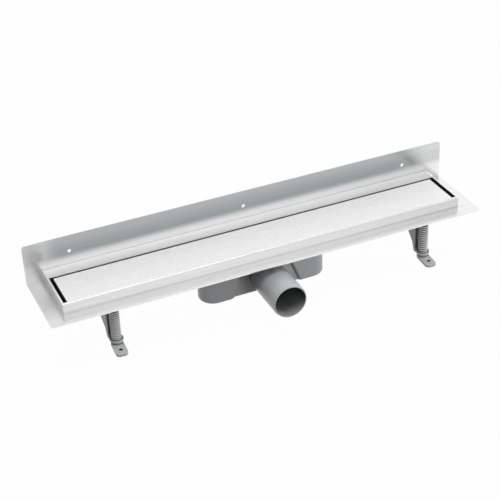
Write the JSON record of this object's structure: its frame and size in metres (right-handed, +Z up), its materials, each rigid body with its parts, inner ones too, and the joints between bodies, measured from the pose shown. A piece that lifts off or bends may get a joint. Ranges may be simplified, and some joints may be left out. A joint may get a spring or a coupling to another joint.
{
  "type": "linear shower drain",
  "caption": "Wall-side linear shower drain: steel channel with upstand and flange, solid cover, plastic trap with spigot outlet and screw-levelled feet.",
  "frame": {"origin": "the middle fixing hole, on the front face of the wall upstand", "axes": "+X along the channel, +Y into the wall, +Z up"},
  "size_m": [0.646, 0.1562, 0.1205],
  "materials": {
    "stainless_steel": "satin",
    "cover_steel": "brushed",
    "saddle_plastic": "moulded",
    "trap_plastic": "moulded",
    "insert_plastic": "moulded",
    "strainer_plastic": "moulded",
    "seal_rubber": "soft",
    "fastener_steel": "plain",
    "leg_plastic": "moulded",
    "spindle_plastic": "moulded"
  },
  "bodies": {
    "channel": {"trough": "stainless_steel", "mounting_flange": "stainless_steel", "wall_upstand": "stainless_steel", "cover_plate": "cover_steel", "cover_frame": "saddle_plastic", "cover_saddles": "saddle_plastic", "trap_body": "trap_plastic", "trap_lid": "trap_plastic", "trap_gasket": "seal_rubber", "clamp_frame": "insert_plastic", "clamp_screws": "fastener_steel", "insert_seal": "seal_rubber", "dip_tube": "insert_plastic", "siphon_cup": "insert_plastic", "hair_strainer": "strainer_plastic", "left_leg_bracket": "leg_plastic", "left_leg_stud": "fastener_steel", "left_leg_nut": "fastener_steel", "right_leg_bracket": "leg_plastic", "right_leg_stud": "fastener_steel", "right_leg_nut": "fastener_steel"},
    "left_foot": {"left_leg_foot": "leg_plastic"},
    "left_spindle": {"left_leg_spindle": "spindle_plastic"},
    "right_foot": {"right_leg_foot": "leg_plastic"},
    "right_spindle": {"right_leg_spindle": "spindle_plastic"}
  },
  "joints": [
    {"name": "left_foot_slide", "type": "slide", "parent": "channel", "child": "left_foot", "axis": [0, 0, 1], "range_m": [-0.035, 0.0012]},
    {"name": "left_spindle_turn", "type": "hinge", "parent": "left_foot", "child": "left_spindle", "pos_m": [-0.2355, -0.1038, -0.065], "axis": [0, 0, 1], "range_deg": [-3940, 137]},
    {"name": "right_foot_slide", "type": "slide", "parent": "channel", "child": "right_foot", "axis": [0, 0, 1], "range_m": [-0.035, 0.0012]},
    {"name": "right_spindle_turn", "type": "hinge", "parent": "right_foot", "child": "right_spindle", "pos_m": [0.2355, -0.1038, -0.065], "axis": [0, 0, 1], "range_deg": [-3940, 137]}
  ],
  "couplings": [
    {"joint": "left_spindle_turn", "follows": "left_foot_slide", "rad_per_m": 1963.5},
    {"joint": "right_spindle_turn", "follows": "right_foot_slide", "rad_per_m": 1963.5}
  ]
}
